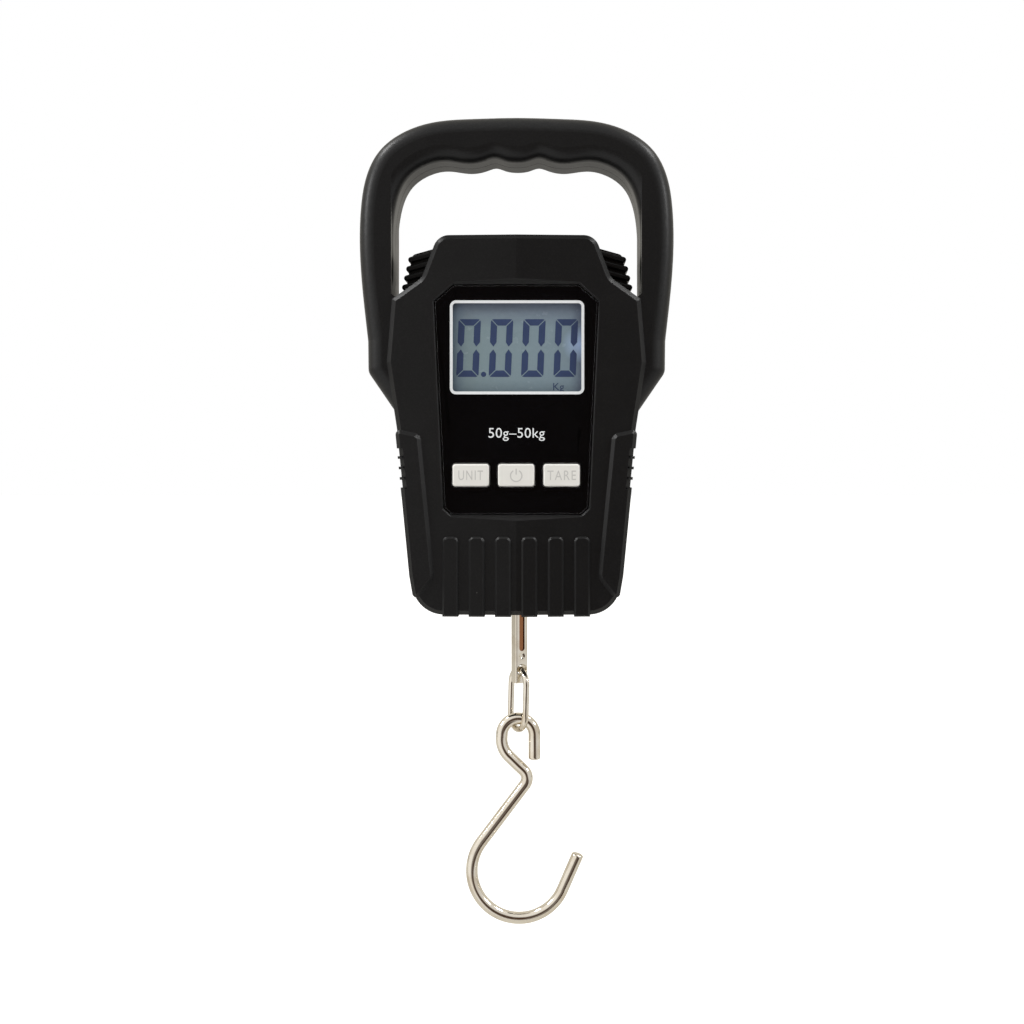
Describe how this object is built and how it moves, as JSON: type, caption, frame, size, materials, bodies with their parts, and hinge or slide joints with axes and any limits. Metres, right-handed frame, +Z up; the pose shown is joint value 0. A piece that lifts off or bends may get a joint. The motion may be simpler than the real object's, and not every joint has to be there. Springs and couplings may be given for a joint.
{
  "type": "digital fish scale",
  "caption": "Hand-held digital hanging scale with a looped grip, display panel with keys, battery door, swivel link and wire hook.",
  "frame": {"origin": "underside of the grip bar at its centre, on the plane where the two shells meet", "axes": "+Z up from the hook to the grip, +Y out of the back, so the display faces -Y; +X to the right seen from the front"},
  "size_m": [0.0896, 0.0289, 0.2329],
  "materials": {
    "shell": "fine-textured satin black ABS",
    "lens": "clear gloss acrylic",
    "mask": "black printed film",
    "lcd": "grey-green liquid crystal glass",
    "white_plastic": "white moulded",
    "key": "cream satin",
    "grey_rubber": "silicone",
    "board": "green solder mask",
    "black_plastic": "moulded",
    "steel": "zinc plated",
    "nickel": "bright nickel plate",
    "aluminium": "machined",
    "gauge_foil": "polyimide foil",
    "wire_jacket": "PVC insulation",
    "cell_sleeve": "printed sleeve"
  },
  "bodies": {
    "housing": {"front_shell": "shell", "rear_shell": "shell", "housing_screws": "steel", "lens_panel": "lens", "lens_mask": "mask", "lcd_glass": "lcd", "backlight": "white_plastic", "lcd_connectors": "grey_rubber", "circuit_board": "board", "board_screws": "steel", "controller_chip": "black_plastic", "switch_bodies": "black_plastic", "load_bracket": "steel", "cell_screws": "steel", "load_cell": "aluminium", "strain_gauges": "gauge_foil", "load_cell_wires": "wire_jacket", "yoke": "steel", "yoke_screws": "steel", "battery_upper": "cell_sleeve", "battery_lower": "cell_sleeve", "battery_springs": "steel", "battery_contacts": "nickel", "battery_wires": "wire_jacket"},
    "unit_key": {"button_unit": "key", "plunger_unit": "white_plastic"},
    "power_key": {"button_power": "key", "plunger_power": "white_plastic"},
    "tare_key": {"button_tare": "key", "plunger_tare": "white_plastic"},
    "door": {"battery_door": "shell"},
    "hanger": {"hanger_bar": "nickel", "swivel_washer": "steel", "swivel_nut": "steel"},
    "link": {"chain_link": "nickel"},
    "hook": {"hook": "nickel"}
  },
  "joints": [
    {"name": "unit_press", "type": "slide", "parent": "housing", "child": "unit_key", "axis": [0, 1, 0], "range_m": [0, 0.0005], "stiffness_N_per_m": 400, "springref_m": -0.0015},
    {"name": "power_press", "type": "slide", "parent": "housing", "child": "power_key", "axis": [0, 1, 0], "range_m": [0, 0.0005], "stiffness_N_per_m": 400, "springref_m": -0.0015},
    {"name": "tare_press", "type": "slide", "parent": "housing", "child": "tare_key", "axis": [0, 1, 0], "range_m": [0, 0.0005], "stiffness_N_per_m": 400, "springref_m": -0.0015},
    {"name": "door_hinge", "type": "hinge", "parent": "housing", "child": "door", "pos_m": [0, 0.0132, -0.0529], "axis": [-1, 0, 0], "range_deg": [0, 75]},
    {"name": "hanger_swivel", "type": "hinge", "parent": "housing", "child": "hanger", "pos_m": [0.00055, 0.003, -0.1165], "axis": [0, 0, 1], "continuous": true},
    {"name": "link_swing", "type": "hinge", "parent": "hanger", "child": "link", "pos_m": [0.00055, 0.003, -0.1455], "axis": [0.5, -0.866, 0], "range_deg": [-35, 35]},
    {"name": "hook_swing", "type": "hinge", "parent": "link", "child": "hook", "pos_m": [0.00022, 0.00262, -0.1598], "axis": [1, 0, 0], "range_deg": [-30, 30]}
  ]
}
